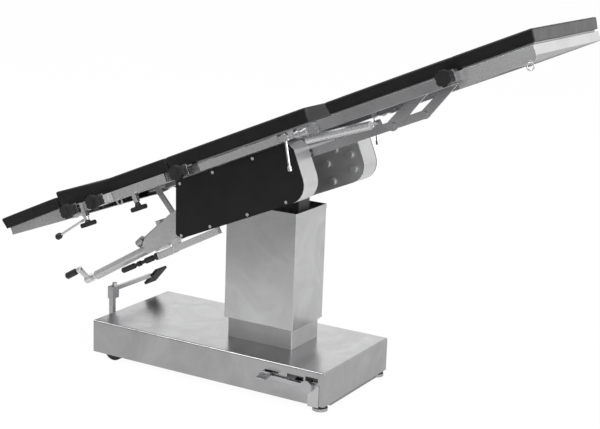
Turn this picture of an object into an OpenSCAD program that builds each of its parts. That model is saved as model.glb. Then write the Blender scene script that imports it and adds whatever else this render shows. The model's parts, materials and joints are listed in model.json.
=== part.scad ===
// Manual operating table: base on castors and brake feet, lifting column, cross pivot, tilting tabletop
// Millimetres, +Z up, +X towards the foot end; origin on the floor under the column's axis
// Tabletop pieces are drawn in their own frame: x along the top, z square to it, turned by top_tilt

/* [Base] */
// Length of the base cover
base_len = 887.5; // [840:0.5:960]
// Width of the base cover
base_wid = 424; // [410:1:480]
// Height of the cover's top above the floor
base_top = 127.7; // [124:0.1:140]
// Gap between the floor and the cover's skirt
skirt_gap = 18.7; // [16:0.1:22]
// Distance from the column's axis to the middle of the cover, towards the head end
base_shift = 129.6; // [110:0.1:150]
// Sheet thickness of the cover
cover_wall = 2; // [1.5:0.5:3]
// Edge radius of the cover
cover_edge = 6; // [4:1:10]
// Height of the base plate's underside
plate_low = 96; // [94:0.5:98]
// Thickness of the base plate
plate_t = 6; // [4:1:8]
// Width of the cross bars on the base plate
bar_wid = 24; // [16:1:30]

/* [Castors and feet] */
// Radius of every castor wheel
wheel_r = 37.5; // [34:0.5:38.5]
// Width of a castor tyre
wheel_wid = 24; // [18:1:26]
// Left wheels: distance of their axle from the cover's end at the head side
left_inset = 80; // [76:1:86]
// Distance of the left wheels from the middle plane
left_wheel_y = 194; // [186:1:196]
// Radius of the left axle
axle_r = 6; // [4:0.5:8]
// Swivel castors: distance from the cover's end at the foot side
swivel_inset = 144; // [138:1:146]
// Swivel castors: place across the base
swivel_y = 120; // [100:1:125]
// Trail of a swivel castor
trail = 28; // [20:1:30]
// Brake feet: distance from the cover's end at the foot side
foot_inset = 25; // [24:1:28]
// Brake feet: place across the base
foot_y = 187; // [180:1:187]
// Radius of a brake foot
foot_r = 24; // [20:1:25]
// Height of a brake foot
foot_h = 20; // [16:1:24]
// Radius of a brake foot's stem
stem_r = 9; // [7:0.5:10]

/* [Brake pedal] */
// Brake shaft: distance from the cover's end at the foot side
brake_inset = 55; // [52:1:58]
// Brake shaft: height
brake_z = 78; // [75:1:80]
// Radius of the brake shaft
brake_shaft_r = 7; // [5:0.5:8]
// Radius of the pedal's boss
boss_r = 20; // [14:1:21]
// Length of the pedal's bar from the shaft
brake_bar = 134; // [110:1:150]

/* [Pump pedal] */
// Distance of the pump lever's post from the cover's end at the head side
pump_out = 30; // [29:1:38]
// Pump shaft: distance from the middle plane, towards the near side
pump_y = 69; // [60:1:80]
// Pump shaft: height
pump_z = 75; // [70:1:78]
// Radius of the pump shaft
pump_shaft_r = 8; // [6:0.5:9]
// Height of the pump lever's arm
pump_arm_z = 194; // [180:1:200]
// Reach of the arm past the middle plane
pump_arm_y = 148; // [130:1:170]
// Length of the pump pedal's pad
pedal_len = 78; // [60:1:80]
// Width of the pump pedal's pad
pedal_wid = 60; // [50:1:64]

/* [Column] */
// Outer sleeve: size along the base
outer_x = 257.4; // [250:0.2:270]
// Outer sleeve: size across the base
outer_y = 189; // [184:0.2:192]
// Height of the outer sleeve's lower edge
outer_low = 194.2; // [190:0.1:210]
// Height of the outer sleeve's upper edge
outer_high = 572.7; // [560:0.1:580]
// Wall of the outer sleeve
outer_wall = 2.5; // [2:0.5:3]
// Gap between the sleeves along the base, filled by the slide pads
gap_x = 6.2; // [5:0.1:8]
// Gap between the sleeves across the base, filled by the slide pads
gap_y = 8.4; // [6:0.1:10]
// Wall of the inner sleeve
inner_wall = 4; // [3:0.5:6]
// Height of the inner sleeve's upper edge
inner_high = 478; // [470:1:480]
// Height of the rim round the outer sleeve's mouth
rim_h = 14; // [8:1:20]
// How far that rim stands proud
rim_proud = 1.2; // [0.8:0.1:2]
// Radius of the hydraulic cylinder
cyl_r = 38; // [34:1:44]
// Radius of the piston rod
rod_r = 20; // [16:1:24]

/* [Cross pivot] */
// Height of the two crossing tilt axes
pivot_z = 640; // [636:1:646]
// Radius of the lateral tilt shaft, along the base
roll_r = 20; // [16:1:22]
// Radius of the head-down tilt shaft, across the base
pitch_r = 22; // [18:1:24]
// Distance from the middle to a yoke ear's inner face
ear_x = 80; // [78:1:84]
// Thickness of a yoke ear
ear_t = 20; // [14:1:22]

/* [Tabletop] */
// Tilt of the tabletop as photographed, foot end up
top_tilt = 23.28; // [20:0.01:24]
// Height of the cushion plane above the column's axis
top_z = 825.3; // [820:0.1:835]
// Width of the cushions
pad_wid = 520; // [510:1:530]
// Cushion ends along the top: head end
head_end = -1010; // [-1020:1:-1000]
// Joint between head and back cushion
head_joint = -743; // [-750:1:-740]
// Joint between back and seat cushion
back_joint = -275; // [-280:1:-270]
// Foot end of the seat cushion
seat_end = 260; // [250:1:262]
// Head end of the leg cushion
leg_start = 327; // [320:1:335]
// Foot end of the leg cushion
leg_end = 986; // [960:1:1000]
// Height of the seat and back cushion faces over the leg cushion's
seat_rise = 7; // [5:0.5:9]
// Extra height of the back cushion at its head end
back_rise = 17; // [10:0.5:20]
// Length over which that extra height falls away
rise_len = 213; // [180:1:240]
// Thickness of the boards under the cushions
board_t = 5; // [4:0.5:6]
// Upper face of the boards
board_top = -36; // [-37:0.5:-35.5]
// Half width of the boards
board_half = 245; // [242:1:246]
// Depth to which the beams under the boards reach
beam_low = -70; // [-71:0.5:-68]
// Height of a cushion's crown over its rim
crown = 3; // [1:0.5:4]
// Rounding of a cushion's upper edges
pad_round = 5; // [4:1:8]

/* [Housings] */
// Inner face of a side housing from the middle plane
housing_in = 148; // [146:1:150]
// Outer face of a side housing's band
housing_out = 231; // [225:1:233]
// Thickness of the black cover panels
panel_t = 4; // [2:0.5:5]
// Sheet thickness of the housing's inner plate
housing_plate = 6; // [4:1:8]
// Sheet thickness of the housing's band
band_t = 3; // [2:0.5:5]
// Radius of the cross tubes between the housings
tube_r = 15; // [12:1:16]

/* [Rails and clamps] */
// Gap between the boards' edges and the side rails
rail_gap = 17; // [16:0.5:18]
// Thickness of the side rails
rail_t = 8; // [6:0.5:10]
// Depth of a clamp block in front of the rail
clamp_depth = 22; // [18:1:26]
// Radius of a clamp knob
knob_r = 24; // [22:1:28]
// Thickness of a clamp knob
knob_t = 20; // [18:1:28]
// Radius of a clamp knob's spindle
spindle_r = 6; // [5:0.5:8]

/* [Leg section] */
// Leg hinge: place along the top
leg_hinge_u = 275; // [274:1:277]
// Leg hinge: depth under the cushion plane
leg_hinge_v = -60; // [-61:1:-59]
// Radius of the leg hinge pins
leg_pin_r = 8; // [6:0.5:9]
// Parallel bar: pivot on the housing, along the top
bar_u = 157; // [150:1:160]
// Parallel bar: depth of its pivots
bar_v = -120; // [-124:1:-118]
// Height of the parallel bar
bar_h = 25; // [22:1:28]
// Distance from the bar's housing pivot to the first link
link1_run = 298; // [280:1:310]
// Distance from the bar's housing pivot to the second link
link2_run = 407; // [390:1:420]
// Radius of the linkage pins
link_pin_r = 6; // [4:0.5:7]
// Length of the foot tray
tray_len = 230; // [200:1:240]

/* [Fits] */
// Radial clearance of a shaft in its bore
running = 0.05; // [0.03:0.01:0.09]
// Radial clearance at the linkage's open pivots
open_fit = 0.5; // [0.3:0.1:0.6]
// Space between pieces that pass each other
gap = 0.3; // [0.2:0.1:0.5]

/* [Hidden] */

round_fn = 48;
fine_fn = 32;

cover_left = -base_shift - base_len / 2;
cover_right = cover_left + base_len;
cover_roof = base_top - cover_wall;
left_wheel_x = -cover_left - left_inset;
swivel_x = cover_right - swivel_inset;
foot_x = cover_right - foot_inset;
brake_x = cover_right - brake_inset;
pump_x = pump_out - cover_left;
plate_high = plate_low + plate_t;
plate_inset = 3.4 + cover_wall;
inner_x = outer_x - 2 * outer_wall - 2 * gap_x;
inner_y = outer_y - 2 * outer_wall - 2 * gap_y;
pad_slack = 0.2;
front_face = -base_wid / 2;
foot_arm_low = 46;
foot_arm_t = 6;
cam_tip_r = 6;
cam_drop = brake_z - cam_tip_r - foot_arm_low - foot_arm_t - 1;
cam_run = 30;
lever_front = front_face - 3;

yoke_low = 545;
yoke_t = 8;
ear_wid = 34;
hub_x = 70;
hub_y = 45;
hub_z = 30;

pitch_u = (pivot_z - top_z) * sin(top_tilt);
pitch_v = (pivot_z - top_z) * cos(top_tilt);

board_low = board_top - board_t;
pad_low = board_top + gap;
beam_wid = 40;
beam_in = board_half - beam_wid;
joint_gap = 4;
back_pin_v = -1;
back_pin_r = 3.5;
head_pin_u = -713;
head_pin_v = -68;
head_gap = 10;
head_drop = 1.2;
head_right = head_joint - head_gap;
head_low = -30;
lug_in = 203;
lug_t = 6;
rail_in = board_half + rail_gap;
rail_out = rail_in + rail_t;
clamp_out = rail_out + clamp_depth;
knob_gap = 1;
bar_in = 130;
bar_t = 10;
link_gap = 1;
link_t = 6;
link_in = bar_in + bar_t + link_gap;
lug2_in = link_in + link_t + link_gap;
rise_u = leg_hinge_u - bar_u;
rise_v = leg_hinge_v - bar_v;
// Stay rods beside the parallel bars: ends, distance from the middle plane, cross pins
stay_a = [210, -81.5];
stay_b = [427, -101.5];
stay_r = 12.5;
stay_y = 217;
stay_pin_r = 5;
stay_pins = [270, 406];
bar_low_in = rail_in - 30;
bar_high_v = -42;
bar_low_v = -72;
leg_bar_end = leg_end - 13 - tray_len;
tray_end = leg_end - 9;

// Outline of a side housing: along the top, square to it, corner radius
housing_shape = [[-277, beam_low, 2], [150, beam_low, 14], [166, -97, 8], [164, -246, 60],
                 [-322, -246, 12], [-343, -230, 10]];
// Outline of the bracket that carries the cranks
bracket_shape = [[-647, -230, 3], [-630, -212, 3], [-502, -161, 3], [-262, -104, 12], [-236, -112, 12],
                 [-238, -150, 10], [-330, -243, 6], [-470, -246, 3], [-639, -262, 3]];
// Screws on a cover panel: along the top, square to it
panel_screws = [[-265, -82], [-134, -82], [21, -82], [150, -88], [-322, -237], [-206, -237], [-60, -237],
                [86, -237]];
// Bolts on a housing's inner plate
plate_bolts = [[33, -163], [126, -158], [123, -205], [34, -223], [76, -127]];

// Crank screw tube: ends and angle against the tabletop
screw_angle = 7.4;
screw_u = -641;
screw_v = -246;
screw_len = 278;
screw_r = 16;
arm_x = -34;
eye_x = -57;
eye_z = 45;
bracket_in = 30;
bracket_t = 6;
// Second screw with its channel, nearer to the camera side
channel_y = -100;
channel_angle = 4.4;
channel_u = -537;
channel_v = -277.5;
// Socket rod for the lateral tilt
side_u = -686;
side_v = -221;
side_angle = 19.6;
side_rod_r = 5;

function stay_v(u) = stay_a[1] + (stay_b[1] - stay_a[1]) * (u - stay_a[0]) / (stay_b[0] - stay_a[0]);
function unit(v) = v / norm(v);
function flat(p) = [p[0], p[1]];
// Points of one rounded corner b between neighbours a and c
function corner_arc(a, b, c, r, n) =
    let (d1 = unit(a - b), d2 = unit(c - b), half = acos(d1 * d2) / 2,
         mid = b + unit(d1 + d2) * r / sin(half),
         p1 = b + d1 * r / tan(half),
         p2 = b + d2 * r / tan(half),
         a1 = atan2(p1[1] - mid[1], p1[0] - mid[0]),
         turn = atan2(p2[1] - mid[1], p2[0] - mid[0]) - a1,
         sweep = turn > 180 ? turn - 360 : turn < -180 ? turn + 360 : turn)
    [for (i = [0 : n]) mid + r * [cos(a1 + sweep * i / n), sin(a1 + sweep * i / n)]];
// Closed outline whose corners are rounded by the third number of each point
function rounded(pts, n = 6) =
    [for (i = [0 : len(pts) - 1])
        let (a = pts[(i + len(pts) - 1) % len(pts)], b = pts[i], c = pts[(i + 1) % len(pts)])
        each corner_arc(flat(a), flat(b), flat(c), b[2], n)];

module on_table() {
    translate([0, 0, top_z]) rotate([0, -top_tilt, 0]) children();
}

module near_side() {
    mirror([0, 1, 0]) children();
}

module both_sides() {
    children();
    near_side() children();
}

module block(x0, x1, y0, y1, z0, z1) {
    translate([x0, y0, z0]) cube([x1 - x0, y1 - y0, z1 - z0]);
}

// A flat shape drawn in x and z, from y0 to y1
module slab(y0, y1) {
    translate([0, y1, 0]) rotate([90, 0, 0]) linear_extrude(y1 - y0) children();
}

module rod_y(x, z, r, y0, y1, fn = round_fn) {
    translate([x, y1, z]) rotate([90, 0, 0]) cylinder(r = r, h = y1 - y0, $fn = fn);
}

module rod_x(y, z, r, x0, x1, fn = round_fn) {
    translate([x0, y, z]) rotate([0, 90, 0]) cylinder(r = r, h = x1 - x0, $fn = fn);
}

module box_tube(lx, ly, wall, z0, z1, r) {
    translate([0, 0, z0]) linear_extrude(z1 - z0) difference() {
        polygon(rounded([[-lx / 2, -ly / 2, r], [lx / 2, -ly / 2, r], [lx / 2, ly / 2, r],
                         [-lx / 2, ly / 2, r]], 4));
        square([lx - 2 * wall, ly - 2 * wall], center = true);
    }
}

// Flat bar with round ends between two pivots, drawn in x and z
module link_shape(a, b, r) {
    d = b - a;
    n = unit([-d[1], d[0]]) * r;
    translate(a) circle(r, $fn = round_fn);
    translate(b) circle(r, $fn = round_fn);
    polygon([a + n, b + n, b - n, a - n]);
}

// Base

module base_cover() {
    color("silver") difference() {
        hull() {
            for (x = [cover_left + cover_edge, cover_right - cover_edge])
                for (y = [-1, 1] * (base_wid / 2 - cover_edge)) {
                    translate([x, y, skirt_gap]) cylinder(r = cover_edge, h = 1, $fn = fine_fn);
                    translate([x, y, base_top - cover_edge]) sphere(r = cover_edge, $fn = fine_fn);
                }
        }
        block(cover_left + cover_wall, cover_right - cover_wall, -base_wid / 2 + cover_wall,
              base_wid / 2 - cover_wall, skirt_gap - 1, cover_roof);
        block(-inner_x / 2 - gap, inner_x / 2 + gap, -inner_y / 2 - gap, inner_y / 2 + gap, cover_roof - 1,
              base_top + 1);
        for (w = [[-157, -107, 93, 99], [-76, -18, 86, 102], [-11, 33, 93, 106]])
            block(brake_x + w[0], brake_x + w[1], front_face - 1, front_face + cover_wall + 1, w[2], w[3]);
        rod_y(brake_x, brake_z, brake_shaft_r + 1, front_face - 1, front_face + cover_wall + 1);
        rod_x(-pump_y, pump_z, pump_shaft_r + 2, cover_left - 1, cover_left + cover_wall + 1);
    }
}

module base_frame() {
    color("dimgray") {
        half = base_wid / 2 - plate_inset;
        block(cover_left + plate_inset, cover_right - plate_inset, -half, half, plate_low, plate_high);
        for (x = [-540, -330, -190, 180, 280])
            block(x, x + bar_wid, -half, half, plate_high, cover_roof);
    }
}

module castor_brackets() {
    color("gray") both_sides() {
        difference() {
            block(-left_wheel_x - 18, -left_wheel_x + 18, left_wheel_y - wheel_wid / 2 - 12,
                  left_wheel_y - wheel_wid / 2 - 4, wheel_r - 16, plate_low);
            rod_y(-left_wheel_x, wheel_r, axle_r + running, 0, base_wid / 2);
        }
        difference() {
            translate([swivel_x, swivel_y, plate_low - 8]) cylinder(r = 25, h = 8, $fn = round_fn);
            translate([swivel_x, swivel_y, plate_low - 9])
                cylinder(r = 8 + running, h = 8.7, $fn = round_fn);
        }
        difference() {
            block(foot_x - 18, foot_x + 17, foot_y - 18, foot_y + 18, 62, plate_low);
            translate([foot_x, foot_y, 60]) cylinder(r = stem_r + running, h = 32, $fn = round_fn);
        }
        difference() {
            block(brake_x - 13, brake_x + 13, 100, 108, 58, plate_low);
            rod_y(brake_x, brake_z, brake_shaft_r + running, 99, 109);
        }
    }
}

module column_inner() {
    color("gainsboro") {
        box_tube(inner_x, inner_y, inner_wall, plate_high, inner_high, 4);
        translate([0, 0, plate_high]) linear_extrude(6) difference() {
            square([inner_x + 36, inner_y + 36], center = true);
            square([inner_x - 2 * inner_wall, inner_y - 2 * inner_wall], center = true);
        }
    }
}

module column_guides() {
    guide_low = inner_high - 38;
    guide_h = 34;
    color("white") for (s = [-1, 1]) {
        translate([s * (inner_x / 2 + (gap_x - pad_slack) / 2), 0, guide_low + guide_h / 2])
            cube([gap_x - pad_slack, 70, guide_h], center = true);
        translate([0, s * (inner_y / 2 + (gap_y - pad_slack) / 2), guide_low + guide_h / 2])
            cube([90, gap_y - pad_slack, guide_h], center = true);
    }
}

module lift_cylinder() {
    bore_r = cyl_r - 8;
    color("lightgray") difference() {
        translate([0, 0, plate_high]) cylinder(r = cyl_r, h = 316, $fn = round_fn);
        translate([0, 0, plate_high + 10]) cylinder(r = bore_r, h = 290, $fn = round_fn);
        translate([0, 0, plate_high + 290]) cylinder(r = rod_r + running, h = 40, $fn = round_fn);
    }
}

module lift_rod() {
    piston_low = plate_high + 76;
    color("silver") {
        translate([0, 0, piston_low]) cylinder(r = cyl_r - 8 - running, h = 20, $fn = round_fn);
        translate([0, 0, piston_low + 20])
            cylinder(r = rod_r, h = yoke_low - piston_low - 20, $fn = round_fn);
    }
}

module pump_unit() {
    pump_left = 163 - pump_x;
    color("dimgray") {
        difference() {
            block(pump_left, pump_left + 100, -pump_y - 50, -pump_y + 50, 40, plate_low);
            rod_x(-pump_y, pump_z, pump_shaft_r + running, pump_left - 1, pump_left + 36);
        }
        rod_x(-40, 86, 5, pump_left + 100.1, -20, fine_fn);
        translate([-20, -40, 81]) cylinder(r = 5, h = plate_low - 81, $fn = fine_fn);
    }
}

module brake_bracket() {
    color("gainsboro") difference() {
        block(foot_x - 30, foot_x + 8, front_face - 2.5, front_face, 14, 84);
        rod_y(brake_x, brake_z, brake_shaft_r + 1, front_face - 4, front_face + 1);
    }
}

module left_wheels() {
    color("black") {
        rod_y(-left_wheel_x, wheel_r, axle_r, -left_wheel_y - wheel_wid / 2, left_wheel_y + wheel_wid / 2);
        both_sides() translate([-left_wheel_x, left_wheel_y, wheel_r]) tyre();
    }
}

// A tyre on the y axis, with softened shoulders
module tyre(bore = 0) {
    shoulder = 3;
    rotate([90, 0, 0]) rotate_extrude($fn = 64) polygon([
        [bore, -wheel_wid / 2], [wheel_r - shoulder, -wheel_wid / 2],
        [wheel_r, -wheel_wid / 2 + shoulder], [wheel_r, wheel_wid / 2 - shoulder],
        [wheel_r - shoulder, wheel_wid / 2], [bore, wheel_wid / 2]]);
}

module swivel_fork() {
    crown_low = wheel_r * 2 + 4;
    crown_high = plate_low - 8 - gap;
    leg_in = wheel_wid / 2 + 3;
    translate([swivel_x, 0, 0]) {
        translate([0, 0, crown_low]) cylinder(r = 22, h = crown_high - crown_low, $fn = round_fn);
        translate([0, 0, crown_high - 1]) cylinder(r = 8, h = 8, $fn = round_fn);
        both_sides() difference() {
            slab(leg_in, leg_in + 4) {
                translate([-trail, wheel_r]) circle(12, $fn = round_fn);
                polygon([[-trail - 12, wheel_r], [-trail + 8, wheel_r - 9], [18, crown_high],
                         [-14, crown_high]]);
            }
            rod_y(-trail, wheel_r, 5, 0, 40);
        }
        rod_y(-trail, wheel_r, 5, -leg_in - 4, leg_in + 4);
    }
}

module swivel_fork_near() {
    color("silver") translate([0, -swivel_y, 0]) swivel_fork();
}

module swivel_fork_far() {
    color("silver") translate([0, swivel_y, 0]) swivel_fork();
}

module swivel_wheel_near() {
    color("black") translate([swivel_x - trail, -swivel_y, wheel_r]) tyre(5 + running);
}

module swivel_wheel_far() {
    color("black") translate([swivel_x - trail, swivel_y, wheel_r]) tyre(5 + running);
}

module brake_lever() {
    bar_front = lever_front - 8;
    bar_end = brake_x - brake_bar;
    color("lightgray") {
        rod_y(brake_x, brake_z, brake_shaft_r, bar_front, foot_y - 28);
        rod_y(brake_x, brake_z, boss_r, bar_front - 6, lever_front);
        slab(bar_front, lever_front)
            polygon(rounded([[bar_end, brake_z - 3, 3], [brake_x, brake_z - 6, 3],
                             [brake_x, brake_z + 6, 3], [bar_end, brake_z + 9, 3]]));
        hull() {
            block(bar_end - 26, bar_end + 6, bar_front, lever_front, brake_z + 8, brake_z + 17);
            block(bar_end - 26, bar_end + 6, bar_front - 34, bar_front - 33, brake_z + 2, brake_z + 6);
        }
        block(bar_end - 6, bar_end + 6, bar_front, lever_front, brake_z - 1, brake_z + 10);
        for (s = [-1, 1]) slab(s * (foot_y - 35) - 5, s * (foot_y - 35) + 5) {
            translate([brake_x, brake_z]) circle(11, $fn = round_fn);
            link_shape([brake_x, brake_z], [brake_x + cam_run, brake_z - cam_drop], cam_tip_r);
        }
    }
}

module brake_feet() {
    arm_high = foot_arm_low + foot_arm_t;
    color("silver") both_sides() {
        translate([foot_x, foot_y, 0]) cylinder(r = foot_r, h = 9, $fn = round_fn);
        translate([foot_x, foot_y, 9]) cylinder(r = foot_r - 2.5, h = foot_h - 9, $fn = round_fn);
        translate([foot_x, foot_y, foot_h]) cylinder(r = stem_r, h = 82 - foot_h, $fn = round_fn);
        block(brake_x + 12, foot_x + 9, foot_y - 44, foot_y + 6, foot_arm_low, arm_high);
    }
}

module pump_lever() {
    half_post = 8;
    clamp_y = -63.5;
    color("lightgray") translate([-pump_x, 0, 0]) {
        rod_x(-pump_y, pump_z, pump_shaft_r, -12, 193);
        rod_x(-pump_y, pump_z, 15, -10, 10);
        block(-half_post, half_post, -pump_y - half_post, -pump_y + half_post, pump_z, 164);
        block(-11, 11, clamp_y - 17, clamp_y + 17, 163, 205);
        translate([0, clamp_y + 7, 204]) cylinder(r = 9, h = 11, $fn = 6);
        block(-5, 5, clamp_y + 16, pump_arm_y, pump_arm_z - 7, pump_arm_z + 7);
    }
}

module pump_pedal() {
    color([0.08, 0.08, 0.08]) translate([-pump_x, pump_arm_y + pedal_wid / 2, pump_arm_z - 6])
        rotate([0, -50, 0]) rotate([90, 0, 0]) translate([0, 0, -pedal_wid / 2]) linear_extrude(pedal_wid)
        polygon(rounded([[-pedal_len / 2, -5, 3], [pedal_len / 2, -5, 3], [pedal_len / 2, 5, 3],
                         [-pedal_len / 2, 5, 3]]));
}

// Column

module column_outer() {
    color("lightgray") {
        box_tube(outer_x, outer_y, outer_wall, outer_low, outer_high, 3);
        box_tube(outer_x + 2 * rim_proud, outer_y + 2 * rim_proud, rim_proud + outer_wall,
                 outer_high - rim_h, outer_high, 4);
    }
}

module yoke() {
    yoke_high = yoke_low + yoke_t;
    color("dimgray") {
        block(-outer_x / 2 + outer_wall, outer_x / 2 - outer_wall, -outer_y / 2 + outer_wall,
              outer_y / 2 - outer_wall, yoke_low, yoke_high);
        for (x = [-ear_x - ear_t, ear_x]) difference() {
            union() {
                block(x, x + ear_t, -ear_wid, ear_wid, yoke_high - 1, pivot_z);
                rod_x(0, pivot_z, ear_wid, x, x + ear_t);
            }
            rod_x(0, pivot_z, roll_r + running, x - 1, x + ear_t + 1);
        }
    }
}

module saddle() {
    color("gray") {
        rod_x(0, pivot_z, roll_r, -ear_x - ear_t - 6, ear_x + ear_t + 6);
        block(-hub_x, hub_x, -hub_y, hub_y, pivot_z - hub_z, pivot_z + hub_z);
        rod_y(0, pivot_z, pitch_r, -housing_in - 24, housing_in + 24);
    }
}

// Tilting housings

module housings() {
    color("gainsboro") on_table() both_sides() {
        difference() {
            slab(housing_in, housing_out) polygon(rounded(housing_shape));
            slab(housing_in + housing_plate, housing_out + 1)
                offset(delta = -band_t) polygon(rounded(housing_shape));
            rod_y(pitch_u, pitch_v, pitch_r + running, housing_in - 1, housing_out);
        }
        for (b = plate_bolts)
            rod_y(b[0], b[1], 11, housing_in - 8, housing_in + 1);
    }
    color("gainsboro") on_table() near_side() rod_y(bar_u, bar_v, link_pin_r, bar_in - 3, housing_in + 1);
}

module housing_panels() {
    color([0.12, 0.12, 0.12]) on_table() both_sides()
        slab(housing_out, housing_out + panel_t) polygon(rounded(housing_shape));
}

module housing_screws() {
    color("white") on_table() both_sides() for (p = panel_screws)
        rod_y(p[0], p[1], 5, housing_out + panel_t, housing_out + panel_t + 2, fine_fn);
}

module cross_tubes() {
    color("gray") on_table() for (p = [[-252, -126], [108, -96]]) difference() {
        rod_y(p[0], p[1], tube_r, -housing_in, housing_in);
        rod_y(p[0], p[1], tube_r - 3, -housing_in - 1, housing_in + 1);
    }
}

// Seat section

module seat_beams() {
    color("silver") on_table() both_sides()
        block(back_joint + 14, seat_end - 24, housing_in + 10, housing_in + 10 + beam_wid, beam_low,
              board_low);
}

module board(u0, u1) {
    block(u0, u1, -board_half, board_half, board_low, board_top);
}

// Concealed hinge ear beside the cushion joint, reaching from a board end to the pin
module hinge_ear(side, y0, bore) {
    difference() {
        slab(y0, y0 + lug_t) {
            translate([back_joint, back_pin_v]) circle(6, $fn = round_fn);
            polygon([[back_joint - side * 5, back_pin_v + 3], [back_joint + side * 5, back_pin_v + 3],
                     [back_joint + side * 18, board_low], [back_joint + side * 8, board_low]]);
        }
        if (bore > 0) rod_y(back_joint, back_pin_v, bore, y0 - 1, y0 + lug_t + 1);
    }
}

module seat_board() {
    color("silver") on_table() {
        board(back_joint + 8, seat_end - 5);
        both_sides() hinge_ear(1, lug_in, back_pin_r + running);
    }
}

module back_board() {
    color("silver") on_table() {
        board(head_joint + 23, back_joint - 8);
        both_sides() {
            hinge_ear(-1, lug_in + lug_t + link_gap, 0);
            rod_y(back_joint, back_pin_v, back_pin_r, lug_in - 1, lug_in + lug_t + 2);
        }
    }
}

// A cushion: crowned top, rounded upper edges, sides drawn in towards the bottom
module cushion(u0, u1, top, low) {
    r = pad_round;
    draw_in = 4;
    edge = top - r;
    half = pad_wid / 2;
    hull() {
        for (u = [u0 + r, u1 - r]) for (y = [-1, 1] * (half - r))
            translate([u, y, edge]) sphere(r = r, $fn = 24);
        for (u = [u0 + r + draw_in, u1 - r - draw_in]) for (y = [-1, 1] * (half - r - draw_in))
            translate([u, y, low]) cylinder(r = r, h = 1, $fn = 24);
        for (k = [[0.12, 0.35], [0.3, 0.8], [0.5, 1]])
            block(u0 + (u1 - u0) * k[0], u1 - (u1 - u0) * k[0] + 1, -half + pad_wid * k[0],
                  half - pad_wid * k[0] + 1, top - 1, top + crown * k[1]);
    }
}

module ear_pockets() {
    both_sides() block(back_joint - 22, back_joint + 22, lug_in - 3, lug_in + 2 * lug_t + 5, pad_low - 1,
                       back_pin_v + 7);
}

module seat_pad() {
    color([0.1, 0.1, 0.1]) on_table() difference() {
        cushion(back_joint + joint_gap, seat_end, seat_rise, pad_low);
        ear_pockets();
    }
}

module back_pad() {
    u0 = head_joint;
    half = pad_wid / 2;
    r = pad_round;
    color([0.1, 0.1, 0.1]) on_table() difference() {
        union() {
            cushion(u0, back_joint - joint_gap, seat_rise, pad_low);
            hull() {
                for (y = [-1, 1] * (half - r - 1)) {
                    translate([u0 + r + 1, y, seat_rise + back_rise - r]) sphere(r = r, $fn = 24);
                    translate([u0 + r + 1, y, seat_rise - crown - r]) sphere(r = r, $fn = 24);
                    translate([u0 + rise_len, y, seat_rise - crown - r]) sphere(r = r, $fn = 24);
                }
            }
        }
        ear_pockets();
    }
}

module head_pad() {
    color([0.1, 0.1, 0.1]) on_table() translate([head_right, 0, 0]) rotate([0, -head_drop, 0])
        cushion(head_end - head_right, 0, seat_rise, head_low);
}

module leg_pad() {
    color([0.1, 0.1, 0.1]) on_table() cushion(leg_start, leg_end, 0, pad_low);
}

// Flat rail on spacers, along the side of a section
module side_rail(u0, u1, v0, v1, spacers, y0) {
    block(u0, u1, rail_in, rail_out, v0, v1);
    for (u = spacers)
        block(u - 12, u + 12, y0, rail_in + 1, v0 + 4, v1 - 4);
}

// Clamp block with the bore for its knob's spindle
module clamp_block(u, half_len, v0, v1) {
    vm = (v0 + v1) / 2;
    difference() {
        block(u - half_len, u + half_len, rail_out - 1, clamp_out, v0, v1);
        rod_y(u, vm, spindle_r + running, clamp_out - 14, clamp_out + 1);
    }
}

module clamp_knob(u, v) {
    y0 = clamp_out + knob_gap;
    both_sides() {
        rod_y(u, v, spindle_r, clamp_out - 12, y0 + 1);
        slab(y0, y0 + knob_t) difference() {
            translate([u, v]) circle(knob_r, $fn = 64);
            for (i = [0 : 5])
                translate([u + (knob_r + 3) * cos(60 * i), v + (knob_r + 3) * sin(60 * i)])
                    circle(6, $fn = fine_fn);
        }
        rod_y(u, v, knob_r * 0.45, y0 + knob_t - 1, y0 + knob_t + 2);
    }
}

knob_head_u = -679;
knob_back_u = -564;
knob_seat_u = -212;
knob_leg_u = 728;
knob_v = -50;
lock_u = -630;
lock_y = rail_out + 10;
lock_r = 4;
brace_u = -421;
brace_y = rail_out;
lever_u = 181;
lever_v = -57.5;
lever_face = rail_out + 2;

module seat_rails() {
    color("silver") on_table() both_sides() {
        side_rail(-150, 149, -68, -44, [-120, 0, 120], board_half);
        difference() {
            block(lever_u - 28, lever_u + 28, board_half, lever_face, lever_v - 9, lever_v + 9);
            rod_y(lever_u, lever_v, spindle_r + running, lever_face - 14, lever_face + 1);
        }
        block(knob_seat_u - 20, knob_seat_u + 20, board_half, rail_in + 1, -64, -40);
        block(knob_seat_u - 33, knob_seat_u + 33, rail_in, rail_out, -67, -33);
        clamp_block(knob_seat_u, 33, -67, -33);
        for (u = [-120, 0, 120, lever_u, knob_seat_u])
            block(u - 12, u + 12, housing_in + 10 + beam_wid, board_half + 1, -60, board_low);
    }
}

module leg_hinge_plates() {
    color("gainsboro") on_table() both_sides() {
        slab(rail_in + 0.5, rail_out) {
            translate([leg_hinge_u, leg_hinge_v]) circle(16, $fn = round_fn);
            translate([leg_hinge_u - 30, leg_hinge_v - 9]) square([30, 18]);
        }
        rod_x(rail_in + 6, leg_hinge_v, 10, leg_hinge_u - 65, leg_hinge_u - 19);
        for (u = [-52, -25]) rod_x(rail_in + 6, leg_hinge_v, 13, leg_hinge_u + u - 5, leg_hinge_u + u + 5);
        block(leg_hinge_u - 61, leg_hinge_u - 23, board_half, rail_in + 1, leg_hinge_v - 8, leg_hinge_v + 16);
        block(leg_hinge_u - 61, leg_hinge_u - 39, housing_in + 10 + beam_wid, board_half + 1,
              leg_hinge_v + 12, board_low);
        rod_y(leg_hinge_u, leg_hinge_v, leg_pin_r, bar_low_in - 2, rail_out + 3);
    }
}

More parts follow.
